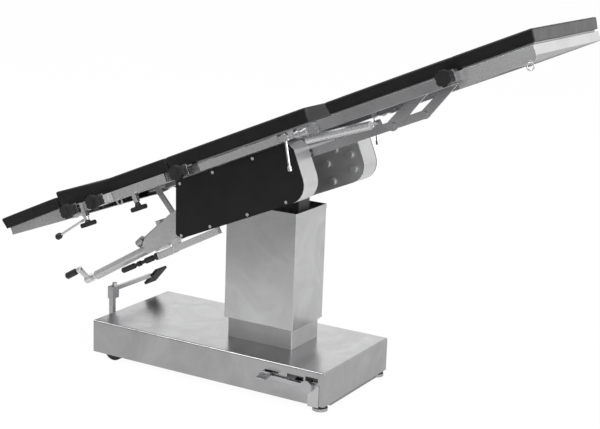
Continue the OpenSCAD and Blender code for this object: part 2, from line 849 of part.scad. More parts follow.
module back_beams() {
    arm_low = [-531, -186];
    arm_high = [-575, -58];
    color("silver") on_table() {
        both_sides() block(head_joint + 72, back_joint - 14, beam_in, board_half, beam_low + 4, board_low);
        slab(40, 48) link_shape(arm_high, arm_low, 9);
        block(-600, -550, 30, 60, beam_low + 4, board_low);
    }
}

module back_rails() {
    color("silver") on_table() both_sides() {
        side_rail(-735, -287, -65, -37, [-700, -560, -420, -310], board_half);
        clamp_block(knob_head_u, 35, -67, -33);
        clamp_block(knob_back_u, 37, -67, -33);
        difference() {
            slab(rail_in + 2, rail_in + 6) translate([-490, -74]) circle(12, $fn = round_fn);
            rod_y(-490, -74, 8, rail_in, rail_in + 8);
        }
        difference() {
            slab(board_half - 12, board_half) {
                polygon(rounded([[head_pin_u - 8, head_pin_v - 8, 4], [head_pin_u + 40, head_pin_v - 4, 4],
                                 [head_pin_u + 40, beam_low + 4, 1], [head_pin_u - 8, head_pin_v + 14, 4]]));
            }
            rod_y(head_pin_u, head_pin_v, 5 + running, board_half - 14, board_half + 1);
        }
        difference() {
            block(lock_u - 7, lock_u + 7, rail_out - 1, lock_y + 8, -84, -38);
            translate([lock_u, lock_y, -85]) cylinder(r = lock_r + running, h = 21, $fn = fine_fn);
        }
        difference() {
            block(brace_u - 7, brace_u + 7, rail_in, brace_y + 7, -94, -60);
            translate([brace_u, brace_y, -95]) cylinder(r = lock_r + running, h = 21, $fn = fine_fn);
        }
    }
}

// Head section

module head_tray() {
    left = head_end + 15;
    right = head_pin_u - 14;
    wall = 3;
    roof_l = head_low - gap + (left - head_right) * tan(head_drop);
    step_u = head_right + 3;
    step_v = -39.5;
    roof_r = head_low - gap + (step_u - head_right) * tan(head_drop);
    color("gainsboro") on_table() {
        both_sides() {
            slab(board_half - wall, board_half)
                polygon([[left, -61], [right, -74], [right, step_v], [step_u, step_v], [step_u, roof_r],
                         [left, roof_l]]);
            slab(board_half - 22, board_half - 12.5) {
                translate([head_pin_u, head_pin_v]) circle(9, $fn = round_fn);
                polygon([[right - 3, -74], [head_pin_u, -77], [head_pin_u, -59], [right - 3, -50]]);
            }
            rod_y(head_pin_u, head_pin_v, 5, board_half - 22, board_half);
            block(right - 30, right, board_half - 22, board_half - 1, -70, -50);
        }
        slab(-board_half + 1, board_half - 1)
            polygon([[left, -61], [right, -74], [right, -71], [left + wall, -58],
                     [left + wall, roof_l - wall],
                     [step_u - wall, roof_r - wall], [step_u - wall, step_v - wall], [right, step_v - wall],
                     [right, step_v], [step_u, step_v], [step_u, roof_r], [left, roof_l]]);
    }
}

// Leg section

module leg_board() {
    lug_half = 14;
    c_u = bar_u + link1_run + rise_u;
    e_u = bar_u + link2_run + rise_u;
    color("silver") on_table() {
        board(leg_start + 3, leg_end - 12);
        near_side() {
            slab(lug2_in, lug2_in + 6) {
                polygon(rounded([[c_u - 16, leg_hinge_v - 12, 8], [c_u + 16, leg_hinge_v - 12, 8],
                                 [c_u + 64, board_low + 1, 0.5], [c_u - 34, board_low + 1, 0.5]]));
                polygon(rounded([[e_u - 14, leg_hinge_v - 12, 8], [e_u + 14, leg_hinge_v - 12, 8],
                                 [e_u + 24, board_low + 1, 0.5], [e_u - 24, board_low + 1, 0.5]]));
            }
            rod_y(c_u, leg_hinge_v, link_pin_r, link_in, lug2_in + 1);
            rod_y(e_u, leg_hinge_v, link_pin_r, link_in, lug2_in + 1);
        }
    }
}

module leg_bars() {
    color("silver") on_table() both_sides() {
        difference() {
            slab(bar_low_in, rail_in) {
                translate([leg_hinge_u, leg_hinge_v]) circle(14, $fn = round_fn);
                polygon(rounded([[leg_hinge_u, leg_hinge_v - 13, 2], [leg_hinge_u + 30, bar_low_v, 10],
                                 [leg_bar_end, bar_low_v, 1], [leg_bar_end, board_low, 1],
                                 [leg_hinge_u + 16, board_low, 4], [leg_hinge_u, leg_hinge_v + 12, 2]]));
            }
            rod_y(leg_hinge_u, leg_hinge_v, leg_pin_r + running, bar_low_in - 1, rail_in + 1);
        }
        block(knob_leg_u - 26, knob_leg_u + 26, rail_in, rail_out, -67, -33);
        clamp_block(knob_leg_u, 26, -67, -33);
    }
}

module foot_tray() {
    wall = 3;
    u0 = leg_bar_end;
    color("gainsboro") on_table() {
        near_side() slab(rail_in - wall, rail_in)
            polygon(rounded([[u0, -88, 2], [tray_end, -84, 14], [tray_end, board_low - 1, 2],
                             [u0, board_low - 1, 2]]));
        slab(rail_in - wall, rail_in)
            polygon(rounded([[u0, -74, 2], [tray_end, -71, 2], [tray_end, board_low - 1, 2],
                             [u0, board_low - 1, 2]]));
        block(u0, tray_end - wall, -rail_in + 1, rail_in - 1, -70, -67);
        block(tray_end - wall, tray_end, -rail_in + 1, rail_in - 1, -70, board_low - 1);
        block(u0 + 20, u0 + 40, -board_half, board_half, -67.5, board_low);
        near_side() difference() {
            slab(rail_in, rail_in + 5) translate([tray_end - 22, -84]) circle(6, $fn = round_fn);
            rod_y(tray_end - 22, -84, 2, rail_in + gap, rail_in + 6, fine_fn);
        }
    }
}

module foot_ring() {
    wire = 2;
    ring_r = 10;
    color("silver") on_table() translate([tray_end - 22, 0, -84]) {
        rod_y(0, 0, 2 - running, -rail_in - 7, -rail_in - 2 * gap, fine_fn);
        translate([0, -rail_in - 8, -ring_r]) rotate([90, 0, 0]) rotate_extrude($fn = round_fn)
            translate([ring_r, 0]) circle(wire, $fn = 16);
    }
}

module link_bars() {
    a = [bar_u, bar_v];
    b = [bar_u + link1_run, bar_v];
    d = [bar_u + link2_run, bar_v];
    half = bar_h / 2;
    turn = half - 0.1;
    color("gray") on_table() near_side() difference() {
        slab(bar_in, bar_in + bar_t) {
            polygon(rounded([[a[0] - half, bar_v - half, turn], [d[0] + half, bar_v - half, turn],
                             [d[0] + half, bar_v + half, turn], [a[0] - half, bar_v + half, turn]], 12));
            for (u = stay_pins)
                polygon([[u - 14, bar_v], [u + 14, bar_v], [u + 9, stay_v(u) + 9], [u - 9, stay_v(u) + 9]]);
        }
        for (u = stay_pins) rod_y(u, stay_v(u), stay_pin_r, bar_in - 1, bar_in + bar_t + 1);
        rod_y(a[0], a[1], link_pin_r + running, bar_in - 1, bar_in + bar_t + 1);
        rod_y(b[0], b[1], link_pin_r + open_fit, bar_in - 1, bar_in + bar_t + 1);
        rod_y(d[0], d[1], link_pin_r + open_fit, bar_in - 1, bar_in + bar_t + 1);
    }
}

// A link from the bar up to the leg section; it keeps its direction while the leg section folds
module link_piece(run, low_r, high_r) {
    low = [bar_u + run, bar_v];
    high = [bar_u + run + rise_u, bar_v + rise_v];
    d = unit(high - low);
    n = [-d[1], d[0]];
    near_side() {
        difference() {
            slab(link_in, link_in + link_t) {
                translate(low) circle(low_r, $fn = round_fn);
                translate(high) circle(high_r, $fn = round_fn);
                polygon([low + n * low_r, high + n * high_r, high - n * high_r, low - n * low_r]);
            }
            rod_y(high[0], high[1], link_pin_r + running, link_in - 1, link_in + link_t + 1);
        }
        rod_y(low[0], low[1], link_pin_r, bar_in - 2, link_in + 1);
        rod_y(low[0], low[1], 9, bar_in - 8, bar_in - 1.5);
        rod_y(low[0], low[1], 9, link_in + link_t - 0.5, link_in + link_t + 5);
    }
}

module link_plates() {
    color("gray") on_table() link_piece(link1_run, 17, 15);
}

module link_arms() {
    color("gray") on_table() link_piece(link2_run, 14, 12);
}

// Round stays outside the parallel bars, carried by cross pins
module stay_rods() {
    angle = atan2(stay_a[1] - stay_b[1], stay_b[0] - stay_a[0]);
    color("gainsboro") on_table() near_side() {
        translate([stay_a[0], 0, stay_a[1]]) rotate([0, angle, 0])
            rod_x(stay_y, 0, stay_r, 0, norm(stay_b - stay_a));
        for (u = stay_pins) rod_y(u, stay_v(u), stay_pin_r, bar_in, stay_y);
    }
}

// Cranks and their screws

module crank_bracket() {
    color("gainsboro") on_table() {
        both_sides() slab(bracket_in, bracket_in + bracket_t) difference() {
            polygon(rounded(bracket_shape));
            translate([-252, -126]) circle(tube_r, $fn = round_fn);
        }
        difference() {
            block(-566, -546, -bracket_in - 1, bracket_in + 1, -206, -166);
            on_side_rod() rod_x(0, 0, side_rod_r + running, 0, 160);
        }
        difference() {
            block(-604, -584, -bracket_in - 1, bracket_in + 1, -264, -222);
            on_screw() rod_x(0, 0, screw_r, -screw_len, 120);
        }
        block(-420, -404, -bracket_in - 1, bracket_in + 1, -236, -200);
        block(-470, -440, channel_y - 12, -bracket_in - bracket_t + 1, -246, -238);
    }
}

module on_screw() {
    translate([screw_u, 0, screw_v]) rotate([0, -screw_angle, 0]) children();
}

module screw_housings() {
    color("silver") on_table() {
        on_screw() difference() {
            union() {
                rod_x(0, 0, screw_r, 6 - screw_len, 90);
                translate([-screw_len, 0, 0]) rotate([0, 90, 0])
                    cylinder(r1 = screw_r - 5, r2 = screw_r, h = 6.01, $fn = round_fn);
            }
            rod_x(0, 0, 7 + running, -screw_len - 1, -screw_len + 60);
        }
        on_channel() difference() {
            union() {
                block(0, 262, -10, 10, -12, 10);
                block(0, 70, -13, 13, -14, 6);
            }
            rod_x(0, 0, 6 + running, -1, 60);
        }
        block(-470, -440, channel_y - 8, channel_y + 8, -264, -246);
    }
}

module on_channel() {
    translate([channel_u, channel_y, channel_v]) rotate([0, -channel_angle, 0]) children();
}

module on_side_rod() {
    translate([side_u, 0, side_v]) rotate([0, -side_angle, 0]) children();
}

module tilt_crank() {
    color("silver") on_table() on_screw() translate([-screw_len, 0, 0]) {
        rod_x(0, 0, 7, -24, 40);
        translate([arm_x - 14, 0, 0]) rotate([0, 90, 0]) cylinder(r1 = 12, r2 = 14, h = 32, $fn = round_fn);
        difference() {
            union() {
                slab(-6, 6) link_shape([arm_x, 0], [eye_x, eye_z], 7);
                rod_x(0, eye_z, 10.5, eye_x - 8, eye_x + 8);
            }
            rod_x(0, eye_z, 4 + running, eye_x - 9, eye_x + 9);
        }
    }
}

// Turned grip along x with softened ends
module grip_x(z, r, x0, x1) {
    translate([x0, 0, z]) rotate([0, 90, 0]) rotate_extrude($fn = round_fn)
        polygon([[0, 0], [r - 3, 0], [r, 4], [r, x1 - x0 - 8], [r - 4, x1 - x0], [0, x1 - x0]]);
}

module tilt_grip() {
    color([0.08, 0.08, 0.08]) on_table() on_screw() translate([-screw_len, 0, 0]) {
        rod_x(0, eye_z, 4, eye_x - 14, eye_x + 8);
        grip_x(eye_z, 12, eye_x - 68, eye_x - 13);
    }
}

module back_crank() {
    color([0.12, 0.12, 0.12]) on_table() on_channel() {
        rod_x(0, 0, 6, -60, 50);
        rod_x(0, 0, 12, -16, -4);
        grip_x(0, 10, -66, -22);
        rod_x(0, 0, 6, -88, -60);
        rod_x(0, 0, 9, -98, -86);
        rod_x(0, 0, 6, -112, -96);
        grip_x(0, 9.5, -172, -108);
    }
}

module side_crank() {
    color("gray") on_table() on_side_rod() {
        rod_x(0, 0, 14, -4, 26);
        rod_x(0, 0, side_rod_r, 25, 148);
    }
}

// Clamps

module knobs_head() {
    color([0.08, 0.08, 0.08]) on_table() clamp_knob(knob_head_u, knob_v);
}

module knobs_back() {
    color([0.08, 0.08, 0.08]) on_table() clamp_knob(knob_back_u, knob_v);
}

module knobs_seat() {
    color([0.08, 0.08, 0.08]) on_table() clamp_knob(knob_seat_u, knob_v);
}

module knobs_leg() {
    color([0.08, 0.08, 0.08]) on_table() clamp_knob(knob_leg_u, knob_v);
}

module lever_clamps() {
    color("silver") on_table() both_sides() {
        rod_y(lever_u, lever_v, spindle_r, lever_face - 12, lever_face + 2);
        rod_y(lever_u, lever_v, 12, lever_face + 1, lever_face + 13);
        translate([lever_u, lever_face + 7, lever_v]) rotate([0, 12, 0]) {
            translate([0, 0, -88]) cylinder(r = 4, h = 86, $fn = fine_fn);
            translate([0, 0, -98]) cylinder(r = 6.5, h = 14, $fn = fine_fn);
        }
    }
}

// Wing knob hanging under a post, with its spindle; drop is the length of its neck
module t_handle(v_top, reach, drop) {
    bar_high = v_top - drop;
    bar_t = 15;
    translate([0, 0, v_top - 6]) cylinder(r = lock_r, h = reach + 6, $fn = fine_fn);
    translate([0, 0, bar_high - 1]) cylinder(r1 = 11, r2 = 7, h = drop + 1, $fn = fine_fn);
    slab(-9, 9) polygon(rounded([[-28, bar_high - bar_t, 6], [28, bar_high - bar_t, 6], [28, bar_high, 6],
                                 [-28, bar_high, 6]]));
}

module head_lock() {
    color([0.08, 0.08, 0.08]) on_table() translate([lock_u, -lock_y, 0]) t_handle(-96 - gap, 30, 6);
}

module on_lock_lever() {
    translate([lock_u, -lock_y, -90]) rotate([0, -11, 0]) children();
}

module head_lock_lever() {
    color("silver") on_table() {
        translate([lock_u, -lock_y, -90]) difference() {
            translate([0, 0, -5.5]) cylinder(r = 9, h = 11, $fn = round_fn);
            translate([0, 0, -7]) cylinder(r = lock_r + running, h = 14, $fn = fine_fn);
        }
        on_lock_lever() rod_x(0, 0, 4, -127, -7, fine_fn);
    }
}

module lock_ball() {
    color([0.08, 0.08, 0.08]) on_table() on_lock_lever() grip_x(0, 10.5, -150, -127);
}

module back_lock() {
    color([0.08, 0.08, 0.08]) on_table() translate([brace_u, -brace_y, 0]) t_handle(-94 - gap, 18, 12);
}

base_cover();
base_frame();
castor_brackets();
column_inner();
column_guides();
lift_cylinder();
pump_unit();
brake_bracket();
left_wheels();
swivel_fork_near();
swivel_fork_far();
swivel_wheel_near();
swivel_wheel_far();
brake_lever();
brake_feet();
pump_lever();
pump_pedal();
column_outer();
lift_rod();
yoke();
saddle();
housings();
housing_panels();
housing_screws();
cross_tubes();
seat_beams();
seat_board();
seat_pad();
seat_rails();
leg_hinge_plates();
crank_bracket();
screw_housings();
tilt_crank();
tilt_grip();
back_crank();
side_crank();
back_board();
back_beams();
back_pad();
back_rails();
head_tray();
head_pad();
leg_board();
leg_bars();
leg_pad();
foot_tray();
foot_ring();
link_bars();
link_plates();
link_arms();
stay_rods();
knobs_head();
knobs_back();
knobs_seat();
knobs_leg();
lever_clamps();
head_lock();
head_lock_lever();
lock_ball();
back_lock();
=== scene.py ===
import json
import math

import bpy
from mathutils import Matrix, Vector, noise


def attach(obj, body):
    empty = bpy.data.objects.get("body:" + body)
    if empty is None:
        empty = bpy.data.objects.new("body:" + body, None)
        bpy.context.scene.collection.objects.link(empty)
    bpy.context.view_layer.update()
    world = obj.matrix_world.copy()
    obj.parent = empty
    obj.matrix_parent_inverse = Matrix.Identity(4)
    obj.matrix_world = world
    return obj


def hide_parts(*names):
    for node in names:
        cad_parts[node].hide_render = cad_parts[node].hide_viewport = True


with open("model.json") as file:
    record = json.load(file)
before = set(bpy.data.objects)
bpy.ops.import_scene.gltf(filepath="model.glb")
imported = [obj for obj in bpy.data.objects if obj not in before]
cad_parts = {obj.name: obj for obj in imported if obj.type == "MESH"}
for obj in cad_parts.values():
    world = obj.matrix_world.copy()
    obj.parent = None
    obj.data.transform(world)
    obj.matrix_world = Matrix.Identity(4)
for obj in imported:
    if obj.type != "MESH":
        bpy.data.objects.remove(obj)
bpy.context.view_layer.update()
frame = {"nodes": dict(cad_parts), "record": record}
nodes = frame["nodes"]

# Tabletop frame: x along the top, z square to it
TILT = math.radians(23.28)
TOP_HEIGHT = 0.8253
TOP = Matrix.Translation((0, 0, TOP_HEIGHT)) @ Matrix.Rotation(-TILT, 4, "Y")

# Cushions
PAD_HALF = 0.2598  # half the width
ROLL = 0.006  # radius of the rolled upper edge
UNDER_ROLL = 0.003  # height of the rolled lower edge
CROWN = 0.003  # rise of the middle over the rim
DRAW = 0.004  # how far the sides are drawn in at the bottom
WELT_HIGH = 0.007  # height of the welt over the underside
WELT_OUT = 0.0011
SEAM_REACH = 0.006  # half the width of a seam's dip
SEAM_DIP = 0.0008  # depth on the top
SEAM_PULL = 0.0018  # depth on the sides

# Brake feet
FOOT_X, FOOT_Y = 0.28915, 0.187

# Background
WHITE_SHARE = 0.95
MIRROR_SHARE = 0.5
ROOM_STRENGTH = 0.85
FLOOR_HALF = 30


# Materials

class Tree:
    """Short calls for building one node material."""

    def __init__(self, name):
        self.mat = bpy.data.materials.new(name)
        self.mat.use_nodes = True
        self.tree = self.mat.node_tree
        self.shader = self.tree.nodes["Principled BSDF"]

    def add(self, kind, values=None, **props):
        node = self.tree.nodes.new(kind)
        for key, value in props.items():
            setattr(node, key, value)
        for key, value in (values or {}).items():
            node.inputs[key].default_value = value
        return node

    def link(self, a, out, b, into):
        self.tree.links.new(a.outputs[out], b.inputs[into])

    def coords(self, scale=(1, 1, 1), turn=(0, 0, 0)):
        co = self.add("ShaderNodeTexCoord")
        mp = self.add("ShaderNodeMapping")
        mp.inputs["Scale"].default_value = scale
        mp.inputs["Rotation"].default_value = turn
        self.link(co, "Object", mp, "Vector")
        return mp

    def noise(self, coords, scale, detail=4.0, rough=0.55):
        n = self.add("ShaderNodeTexNoise", {"Scale": scale, "Detail": detail, "Roughness": rough})
        self.link(coords, "Vector", n, "Vector")
        return n

    def ramp(self, source, low, high, a=0.35, b=0.65, out="Fac"):
        r = self.add("ShaderNodeMapRange", {"From Min": a, "From Max": b, "To Min": low, "To Max": high})
        self.link(source, out, r, "Value")
        return r

    def tint(self, factor, dark, light):
        m = self.add("ShaderNodeMix", data_type="RGBA")
        m.inputs[6].default_value = (*dark, 1)
        m.inputs[7].default_value = (*light, 1)
        self.tree.links.new(factor.outputs[0], m.inputs[0])
        self.tree.links.new(m.outputs[2], self.shader.inputs["Base Color"])

    def recolour(self, axis, start, end, colour, most=1.0):
        """Blend the base colour over faces whose rest normal along one axis goes from start to end."""
        parts = self.add("ShaderNodeSeparateXYZ")
        self.link(self.add("ShaderNodeTexCoord"), "Normal", parts, 0)
        facing = self.ramp(parts, 0.0, most, start, end, out=axis)
        m = self.add("ShaderNodeMix", data_type="RGBA")
        m.inputs[7].default_value = (*colour, 1)
        base = self.shader.inputs["Base Color"]
        self.tree.links.new(facing.outputs[0], m.inputs[0])
        self.tree.links.new(base.links[0].from_socket, m.inputs[6])
        self.tree.links.new(m.outputs[2], base)

    def bump(self, source, strength, distance, out="Fac", soft_edge=0.0):
        b = self.add("ShaderNodeBump", {"Strength": strength, "Distance": distance})
        self.link(source, out, b, "Height")
        if soft_edge:
            edge = self.add("ShaderNodeBevel", {"Radius": soft_edge}, samples=4)
            self.link(edge, "Normal", b, "Normal")
        self.link(b, "Normal", self.shader, "Normal")
        return b


def steel(name, dark, light, rough_low, rough_high, stretch, edge=0.0012, turn=(0, 0, 0), cloud=6.0,
          metal=1.0, swirl=0.0, mark=0.05, under=1.0):
    """Stainless sheet: grain along one direction, cloudy or swirled polish marks and softened edges."""
    t = Tree(name)
    t.shader.inputs["Metallic"].default_value = metal
    broad = t.noise(t.coords(), cloud, 3.0)
    broad.inputs["Distortion"].default_value = swirl
    grain = t.noise(t.coords(stretch, turn), 60.0, 5.0, 0.7)
    t.tint(t.ramp(broad, 0.0, 1.0, 0.3, 0.7), dark, light)
    if under < 1.0:
        # painted shade: faces that look down at rest have their colour darkened towards black
        t.recolour("Z", -0.6, -0.9, (0, 0, 0), 1 - under)
    rough = t.ramp(grain, rough_low, rough_high)
    t.link(rough, "Result", t.shader, "Roughness")
    t.bump(grain, mark, 0.0002, soft_edge=edge)
    return t.mat


def grey(level):
    """The faintly blue grey of stainless steel."""
    return level, level, level + 0.005


def chrome(name, level):
    """Bright plating with faint marks."""
    t = Tree(name)
    t.shader.inputs["Metallic"].default_value = 1.0
    marks = t.noise(t.coords(), 90.0, 4.0)
    t.tint(t.ramp(marks, 0.0, 1.0), (level * 0.9,) * 3, (level,) * 3)
    t.link(t.ramp(marks, 0.08, 0.2), "Result", t.shader, "Roughness")
    t.bump(marks, 0.04, 0.0001, soft_edge=0.001)
    return t.mat


def dull(name, dark, light, rough_low, rough_high, scale, strength, distance, edge=0.001, metal=0.0):
    """Plastic, paint or rubber: mottled colour with a fine surface."""
    t = Tree(name)
    t.shader.inputs["Metallic"].default_value = metal
    fine = t.noise(t.coords(), scale, 6.0, 0.65)
    broad = t.noise(t.coords(), 14.0, 3.0)
    t.tint(t.ramp(broad, 0.0, 1.0), dark, light)
    t.link(t.ramp(fine, rough_low, rough_high), "Result", t.shader, "Roughness")
    t.bump(fine, strength, distance, soft_edge=edge)
    return t.mat


def leather(name):
    """Black upholstery sheet: pebbled grain, faint creases, a soft sheen and a painted highlight that greys
    the foot end.
    """
    t = Tree(name)
    base = t.coords()
    cells = t.add("ShaderNodeTexVoronoi", {"Scale": 620.0, "Randomness": 1.0}, feature="DISTANCE_TO_EDGE")
    t.link(base, "Vector", cells, "Vector")
    crease = t.noise(base, 22.0, 6.0, 0.6)
    pebble = t.ramp(cells, 0.0, 1.0, 0.0, 0.12, out="Distance")
    mixed = t.add("ShaderNodeMath", operation="MULTIPLY_ADD")
    t.link(crease, "Fac", mixed, 0)
    mixed.inputs[1].default_value = 0.8
    t.link(pebble, "Result", mixed, 2)
    t.tint(t.ramp(crease, 0.0, 1.0), (0.0055, 0.0055, 0.006), (0.010, 0.010, 0.011))
    # painted highlight: the foot end catches the light and reads as grey, so faces turned along +x at rest
    # get a lighter grey colour
    t.recolour("X", 0.8, 0.9, (0.075, 0.075, 0.077))
    t.link(t.ramp(crease, 0.38, 0.54), "Result", t.shader, "Roughness")
    t.shader.inputs["Specular IOR Level"].default_value = 0.3
    t.shader.inputs["Sheen Weight"].default_value = 0.12
    t.shader.inputs["Sheen Roughness"].default_value = 0.35
    t.bump(mixed, 0.25, 0.0004, out="Value")
    return t.mat


sheet_steel = steel("sheet_steel", grey(0.5), grey(0.6), 0.17, 0.27, (1, 1, 14), swirl=1.6)
base_steel = steel("base_steel", grey(0.37), grey(0.45), 0.22, 0.27, (1, 1, 14), edge=0.0008, swirl=1.6,
                   mark=0.01)
satin_steel = steel("satin_steel", (0.42, 0.42, 0.43), (0.52, 0.52, 0.53), 0.26, 0.38, (1, 9, 9),
                    turn=(0, TILT, 0))
band_steel = steel("band_steel", grey(0.56), grey(0.68), 0.28, 0.4, (1, 9, 9), turn=(0, TILT, 0),
                   metal=0.72)
# the foot tray gets painted shade on its downward faces (under=0.35)
tray_steel = steel("tray_steel", grey(0.64), grey(0.74), 0.25, 0.31, (1, 9, 9), turn=(0, TILT, 0),
                   metal=0.82, mark=0.008, under=0.35)
tube_steel = steel("tube_steel", grey(0.66), grey(0.76), 0.24, 0.32, (9, 1, 9), metal=0.65, mark=0.01)
column_steel = steel("column_steel", grey(0.46), grey(0.54), 0.3, 0.4, (1, 1, 14), swirl=1.6, metal=0.55)
head_steel = steel("head_steel", grey(0.5), grey(0.6), 0.25, 0.33, (1, 9, 9), turn=(0, TILT, 0),
                   metal=0.85, mark=0.008)
bright = chrome("bright_chrome", 0.78)
dark_iron = dull("dark_iron", (0.03, 0.03, 0.03), (0.06, 0.06, 0.06), 0.45, 0.6, 160.0, 0.25, 0.0006)
grey_paint = dull("grey_paint", (0.12, 0.12, 0.125), (0.16, 0.16, 0.165), 0.4, 0.5, 240.0, 0.15, 0.0003)
panel_black = dull("panel_black", (0.006, 0.006, 0.0065), (0.009, 0.009, 0.0095), 0.5, 0.58, 420.0, 0.1,
                   0.0002)
panel_black.node_tree.nodes["Principled BSDF"].inputs["Specular IOR Level"].default_value = 0.3
plastic_black = dull("plastic_black", (0.012, 0.012, 0.012), (0.02, 0.02, 0.02), 0.35, 0.45, 380.0, 0.12,
                     0.0002)
rubber_black = dull("rubber_black", (0.014, 0.014, 0.014), (0.024, 0.024, 0.024), 0.6, 0.75, 520.0, 0.3,
                    0.0004)
white_plastic = dull("white_plastic", (0.62, 0.62, 0.6), (0.7, 0.7, 0.68), 0.4, 0.5, 300.0, 0.1, 0.0002)
pad_leather = leather("pad_leather")

LOOKS = {
    "polished_steel": sheet_steel,
    "chrome": bright,
    "satin_steel": satin_steel,
    "black_leather": pad_leather,
    "black_plastic": plastic_black,
    "black_panel": panel_black,
    "grey_paint": grey_paint,
    "dark_iron": dark_iron,
    "black_rubber": rubber_black,
    "white_plastic": white_plastic,
    "tyre_rubber": rubber_black,
}
OWN_LOOKS = {
    "base_cover": base_steel,
    "housings": band_steel,
    "foot_tray": tray_steel,
    "head_tray": head_steel,
    "screw_housings": tube_steel,
    "crank_bracket": tube_steel,
    "stay_rods": tube_steel,
    "column_inner": column_steel,
}
for part in frame["record"]["subparts"]:
    node = nodes[part["node"]]
    node.data.materials.clear()
    node.data.materials.append(OWN_LOOKS.get(part["node"], LOOKS[part["material_slot"]]))


# Cushions

def steps(low, high, edge, inner):
    """Positions from low to high, close together near both ends."""
    near = [0.0, 0.18, 0.38, 0.6, 0.8, 1.0, 1.4, 2.0]
    first = [low + edge * k for k in near]
    last = [high - edge * k for k in reversed(near)]
    a, b = first[-1], last[0]
    return first + [a + (b - a) * i / inner for i in range(1, inner)] + last


def skin(xs, ys, zs):
    """Vertices and faces of a closed box surface with grid lines at the given places."""
    index, verts, faces = {}, [], []

    def at(i, j, k):
        key = (i, j, k)
        if key not in index:
            index[key] = len(verts)
            verts.append(Vector((xs[i], ys[j], zs[k])))
        return index[key]

    nx, ny, nz = len(xs) - 1, len(ys) - 1, len(zs) - 1
    for i in range(nx):
        for j in range(ny):
            faces.append((at(i, j, 0), at(i, j + 1, 0), at(i + 1, j + 1, 0), at(i + 1, j, 0)))
            faces.append((at(i, j, nz), at(i + 1, j, nz), at(i + 1, j + 1, nz), at(i, j + 1, nz)))
    for i in range(nx):
        for k in range(nz):
            faces.append((at(i, 0, k), at(i + 1, 0, k), at(i + 1, 0, k + 1), at(i, 0, k + 1)))
            faces.append((at(i, ny, k), at(i, ny, k + 1), at(i + 1, ny, k + 1), at(i + 1, ny, k)))
    for j in range(ny):
        for k in range(nz):
            faces.append((at(0, j, k), at(0, j, k + 1), at(0, j + 1, k + 1), at(0, j + 1, k)))
            faces.append((at(nx, j, k), at(nx, j + 1, k), at(nx, j + 1, k + 1), at(nx, j, k + 1)))
    return verts, faces


def pull(value, centre, width):
    """1 at the centre of a seam, falling to 0 at its width."""
    d = abs(value - centre) / width
    return 0.0 if d >= 1 else (1 - d * d) ** 2


def grid(x0, x1, top, low, seams):
    """Grid places of a cushion: closer at its edges, its welt and its seams."""
    xs = steps(x0, x1, ROLL, 26)
    for s in seams:
        xs = sorted(set(xs + [s + d for d in (-0.006, -0.003, -0.0012, 0.0, 0.0012, 0.003, 0.006)]))
    ys = steps(-PAD_HALF, PAD_HALF, ROLL, 22)
    zs = [low, low + WELT_HIGH / 2, low + WELT_HIGH]
    zs += [low + WELT_HIGH + (top - ROLL - low - WELT_HIGH) * k / 3 for k in (1, 2, 3)]
    zs += [top - ROLL + ROLL * k for k in (0.2, 0.4, 0.62, 0.82, 1.0)]
    return xs, ys, zs


def pad(name, node, body, x0, x1, top, low, rise=None, seams=(), frame_matrix=TOP):
    """A foam pad in a tight cover: crowned top, rolled upper edge, sides drawn in, seams sewn round it.

    rise is the extra height at x0 and the length over which it fades.
    """
    xs, ys, zs = grid(x0, x1, top, low, seams)
    r, half = ROLL, PAD_HALF
    verts, faces = skin(xs, ys, zs)
    for v in verts:
        x, y, z = v
        cx = min(max(x, x0 + r), x1 - r)
        cy = min(max(y, -half + r), half - r)
        cz = min(max(z, low + UNDER_ROLL), top - r)
        d = Vector((x - cx, y - cy, z - cz))
        if z > top - r or abs(x - cx) > 0 or abs(y - cy) > 0:
            if z > top - r and d.length > r:
                d *= r / d.length
            elif z <= top - r:
                flat = Vector((d.x, d.y, 0))
                if flat.length > r:
                    flat *= r / flat.length
                d = Vector((flat.x, flat.y, d.z))
        v.xyz = (cx + d.x, cy + d.y, cz + d.z)
        # how far in from the rim, 0 to 1
        sx = (v.x - x0) * (x1 - v.x) / ((x1 - x0) / 2) ** 2
        sy = (half + v.y) * (half - v.y) / half ** 2
        inward = max(0.0, min(1.0, sx)) ** 0.6 * max(0.0, min(1.0, sy)) ** 0.6
        on_top = z >= top - 1e-6
        if on_top:
            v.z += CROWN * inward
            v.z += 0.0005 * noise.noise(Vector((v.x * 9, v.y * 9, 3.1))) * inward
        # the cover draws the sides in towards the bottom, less near the corners
        depth = (top - r - v.z) / (top - r - low)
        if depth > 0:
            k = DRAW * depth
            v.x += k if v.x < x0 + 2 * r else (-k if v.x > x1 - 2 * r else 0)
            v.y += k if v.y < -half + 2 * r else (-k if v.y > half - 2 * r else 0)
            # a welt low on the side where top and bottom cover meet
            w = WELT_OUT * pull(v.z, low + WELT_HIGH, WELT_HIGH / 2)
            v.y -= math.copysign(w, v.y) if abs(v.y) > half - 2 * r else 0
        for s in seams:
            dip = pull(x, s, SEAM_REACH)
            if dip:
                out = max(0.0, min(1.0, (abs(v.y) - half + 2 * r) / (2 * r)))
                v.z -= SEAM_DIP * dip if on_top else 0.0
                v.y -= math.copysign(SEAM_PULL * dip * out, v.y)
        if rise and z > low + 0.006:
            h, run = rise
            k = max(0.0, 1 - (v.x - x0) / run)
            share = (z - low) / (top - low)
            v.z += h * k * max(0.0, min(1.0, share))
    mesh = bpy.data.meshes.new(name)
    mesh.from_pydata([tuple(v) for v in verts], [], faces)
    mesh.transform(frame_matrix)
    mesh.materials.append(pad_leather)
    for p in mesh.polygons:
        p.use_smooth = True
    obj = bpy.data.objects.new(name, mesh)
    bpy.context.scene.collection.objects.link(obj)
    soft = obj.modifiers.new("soft", "SUBSURF")
    soft.levels = soft.render_levels = 1
    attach(obj, body)
    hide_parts(node)
    return obj


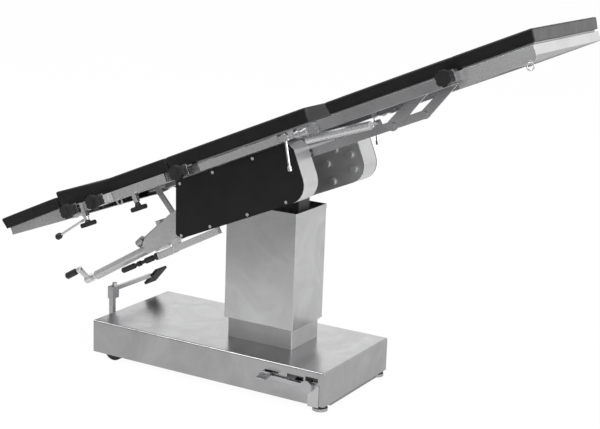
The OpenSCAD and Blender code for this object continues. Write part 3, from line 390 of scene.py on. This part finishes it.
pad("seat_cushion", "seat_pad", "table", -0.271, 0.260, 0.007, -0.0357)
pad("back_cushion", "back_pad", "back", -0.743, -0.279, 0.007, -0.0357, rise=(0.017, 0.205))
pad("leg_cushion", "leg_pad", "leg", 0.327, 0.986, 0.0, -0.0357, seams=(0.742,))
head_frame = TOP @ Matrix.Translation((-0.753, 0, 0)) @ Matrix.Rotation(math.radians(-1.2), 4, "Y")
pad("head_cushion", "head_pad", "head", -0.257, 0.0, 0.007, -0.030, frame_matrix=head_frame)


# Rubber collars on the brake feet

def collars(name, body, centres, profile, count=48):
    """Closed rings turned from a profile of (radius, height) points."""
    verts, faces = [], []
    n = len(profile)
    for cx, cy in centres:
        start = len(verts)
        for i in range(count):
            a = math.tau * i / count
            verts += [(cx + r * math.cos(a), cy + r * math.sin(a), z) for r, z in profile]
        for i in range(count):
            for k in range(n):
                a, b = i * n, (i + 1) % count * n
                faces.append([start + q for q in (a + k, b + k, b + (k + 1) % n, a + (k + 1) % n)])
    mesh = bpy.data.meshes.new(name)
    mesh.from_pydata(verts, [], faces)
    mesh.materials.append(rubber_black)
    for p in mesh.polygons:
        p.use_smooth = True
    obj = bpy.data.objects.new(name, mesh)
    bpy.context.scene.collection.objects.link(obj)
    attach(obj, body)


collars("foot_collars", "feet", [(FOOT_X, -FOOT_Y), (FOOT_X, FOOT_Y)],
        [(0.0214, 0.0093), (0.0221, 0.0093), (0.0225, 0.0099), (0.0226, 0.0118), (0.0223, 0.0145),
         (0.0226, 0.0172), (0.0225, 0.0190), (0.0220, 0.0197), (0.0214, 0.0197)])


# Camera, as fitted to the photograph

def look_frame(az, el, roll):
    """Axes of a camera turned by az from the y axis, looking down by el, rolled by roll."""
    fwd = Vector((-math.sin(az) * math.cos(el), math.cos(az) * math.cos(el), -math.sin(el)))
    right = Vector((math.cos(az), math.sin(az), 0))
    up = right.cross(fwd)
    across = math.cos(roll) * right + math.sin(roll) * up
    above = -math.sin(roll) * right + math.cos(roll) * up
    return Matrix((across, above, -fwd)).transposed()


camera = bpy.data.objects.new("camera", bpy.data.cameras.new("camera"))
bpy.context.scene.collection.objects.link(camera)
camera.data.lens = 80.75
camera.data.sensor_width = 36
look = look_frame(0.523, 0.233, 0.036).to_4x4()
camera.matrix_world = Matrix.Translation((2.149, -3.5777, 1.5277)) @ look
bpy.context.scene.camera = camera


# Floor, light and surroundings

def seen(tree):
    """How much a ray meets the white background: all for camera and glass rays, half for mirror rays."""
    path = tree.nodes.new("ShaderNodeLightPath")
    a = tree.nodes.new("ShaderNodeMath")
    a.operation = "MAXIMUM"
    tree.links.new(path.outputs["Is Camera Ray"], a.inputs[0])
    tree.links.new(path.outputs["Is Transmission Ray"], a.inputs[1])
    half = tree.nodes.new("ShaderNodeMath")
    half.operation = "MULTIPLY_ADD"
    half.inputs[1].default_value = MIRROR_SHARE
    tree.links.new(path.outputs["Is Glossy Ray"], half.inputs[0])
    tree.links.new(a.outputs[0], half.inputs[2])
    half.use_clamp = True
    return path, half


def across(tree, coords, low, high, dark, light=1.0):
    """Tone that is light behind and to the right, falling to dark in front on the left."""
    sep = tree.nodes.new("ShaderNodeSeparateXYZ")
    tree.links.new(coords, sep.inputs[0])
    side = tree.nodes.new("ShaderNodeMath")
    side.operation = "MULTIPLY_ADD"
    side.inputs[1].default_value = 0.9
    tree.links.new(sep.outputs["X"], side.inputs[0])
    tree.links.new(sep.outputs["Y"], side.inputs[2])
    tone = tree.nodes.new("ShaderNodeMapRange")
    tone.inputs["From Min"].default_value = low
    tone.inputs["From Max"].default_value = high
    tone.inputs["To Min"].default_value = dark
    tone.inputs["To Max"].default_value = light
    tree.links.new(side.outputs[0], tone.inputs["Value"])
    return tone


floor_mesh = bpy.data.meshes.new("floor")
corners = [(-FLOOR_HALF, -FLOOR_HALF, 0), (FLOOR_HALF, -FLOOR_HALF, 0), (FLOOR_HALF, FLOOR_HALF, 0),
           (-FLOOR_HALF, FLOOR_HALF, 0)]
floor_mesh.from_pydata(corners, [], [(0, 1, 2, 3)])
floor = bpy.data.objects.new("floor", floor_mesh)
bpy.context.scene.collection.objects.link(floor)
floor_mat = bpy.data.materials.new("pale_floor")
floor_mat.use_nodes = True
ft = floor_mat.node_tree
ft.nodes.clear()
path, shown = seen(ft)
plain = ft.nodes.new("ShaderNodeBsdfDiffuse")
white = ft.nodes.new("ShaderNodeEmission")
ground = ft.nodes.new("ShaderNodeTexCoord")
# painted shade: the floor's own colour darkens from 0.78 to 0.35 towards the front left
ft.links.new(across(ft, ground.outputs["Object"], -2.9, -1.0, 0.35, 0.78).outputs[0], plain.inputs["Color"])
# painted shade: the floor's glow dims towards the front left; the camera sees the floor white everywhere,
# only mirror rays meet its darker side
lit = ft.nodes.new("ShaderNodeMath")
lit.operation = "MAXIMUM"
ft.links.new(across(ft, ground.outputs["Object"], -2.5, -0.7, 0.4).outputs[0], lit.inputs[0])
ft.links.new(path.outputs["Is Camera Ray"], lit.inputs[1])
ft.links.new(lit.outputs[0], white.inputs["Color"])
share = ft.nodes.new("ShaderNodeMath")
share.operation = "MULTIPLY"
share.inputs[1].default_value = WHITE_SHARE
place = ft.nodes.new("ShaderNodeSeparateXYZ")
ft.links.new(ground.outputs["Object"], place.inputs[0])


def between(axis, middle, reach):
    """1 where the floor lies within reach of the middle along one axis."""
    near = ft.nodes.new("ShaderNodeMath")
    near.operation = "COMPARE"
    near.inputs[1].default_value = middle
    near.inputs[2].default_value = reach
    ft.links.new(place.outputs[axis], near.inputs[0])
    return near


# under the base the floor is plain, so no white shows through the cover's slots
covered = ft.nodes.new("ShaderNodeMath")
covered.operation = "MULTIPLY"
ft.links.new(between("X", -0.13, 0.43).outputs[0], covered.inputs[0])
ft.links.new(between("Y", 0.03, 0.17).outputs[0], covered.inputs[1])
bare = ft.nodes.new("ShaderNodeMath")
bare.operation = "SUBTRACT"
bare.inputs[0].default_value = 1.0
ft.links.new(covered.outputs[0], bare.inputs[1])
kept = ft.nodes.new("ShaderNodeMath")
kept.operation = "MULTIPLY"
ft.links.new(bare.outputs[0], kept.inputs[1])
mix = ft.nodes.new("ShaderNodeMixShader")
out = ft.nodes.new("ShaderNodeOutputMaterial")
ft.links.new(shown.outputs[0], share.inputs[0])
ft.links.new(share.outputs[0], kept.inputs[0])
ft.links.new(kept.outputs[0], mix.inputs[0])
white.inputs["Strength"].default_value = 1.02
ft.links.new(plain.outputs[0], mix.inputs[1])
ft.links.new(white.outputs[0], mix.inputs[2])
ft.links.new(mix.outputs[0], out.inputs["Surface"])
floor_mesh.materials.append(floor_mat)

world = bpy.data.worlds.new("studio")
bpy.context.scene.world = world
world.use_nodes = True
wt = world.node_tree
wt.nodes.clear()
shown = seen(wt)[1]
co = wt.nodes.new("ShaderNodeTexCoord")
# white backdrop behind the object and to its right, a darker room in front
room = across(wt, co.outputs["Generated"], -0.9, 0.4, 0.18)
around = wt.nodes.new("ShaderNodeBackground")
wt.links.new(room.outputs[0], around.inputs["Color"])
around.inputs["Strength"].default_value = ROOM_STRENGTH
back = wt.nodes.new("ShaderNodeBackground")
back.inputs["Color"].default_value = (1, 1, 1, 1)
wmix = wt.nodes.new("ShaderNodeMixShader")
wout = wt.nodes.new("ShaderNodeOutputWorld")
wt.links.new(shown.outputs[0], wmix.inputs[0])
wt.links.new(around.outputs[0], wmix.inputs[1])
wt.links.new(back.outputs[0], wmix.inputs[2])
wt.links.new(wmix.outputs[0], wout.inputs["Surface"])


def lamp(name, place, target, size, power):
    data = bpy.data.lights.new(name, "AREA")
    data.shape = "RECTANGLE"
    data.size, data.size_y = size
    data.energy = power
    obj = bpy.data.objects.new(name, data)
    bpy.context.scene.collection.objects.link(obj)
    obj.location = place
    obj.rotation_euler = (Vector(target) - Vector(place)).to_track_quat("-Z", "Y").to_euler()


lamp("right_softbox", (4.2, -0.6, 1.9), (0, 0, 0.7), (2.6, 2.6), 90)
lamp("top_softbox", (-1.0, -0.6, 3.9), (0, 0, 0.5), (4.6, 3.0), 38)
lamp("edge_softbox", (-2.6, -1.7, 3.9), (-2.6, -1.69, 0.5), (2.4, 1.4), 75)
lamp("back_softbox", (-3.4, 5.4, 2.2), (0, 0, 0.4), (5.0, 2.4), 14)

bpy.context.scene.view_settings.view_transform = "Standard"
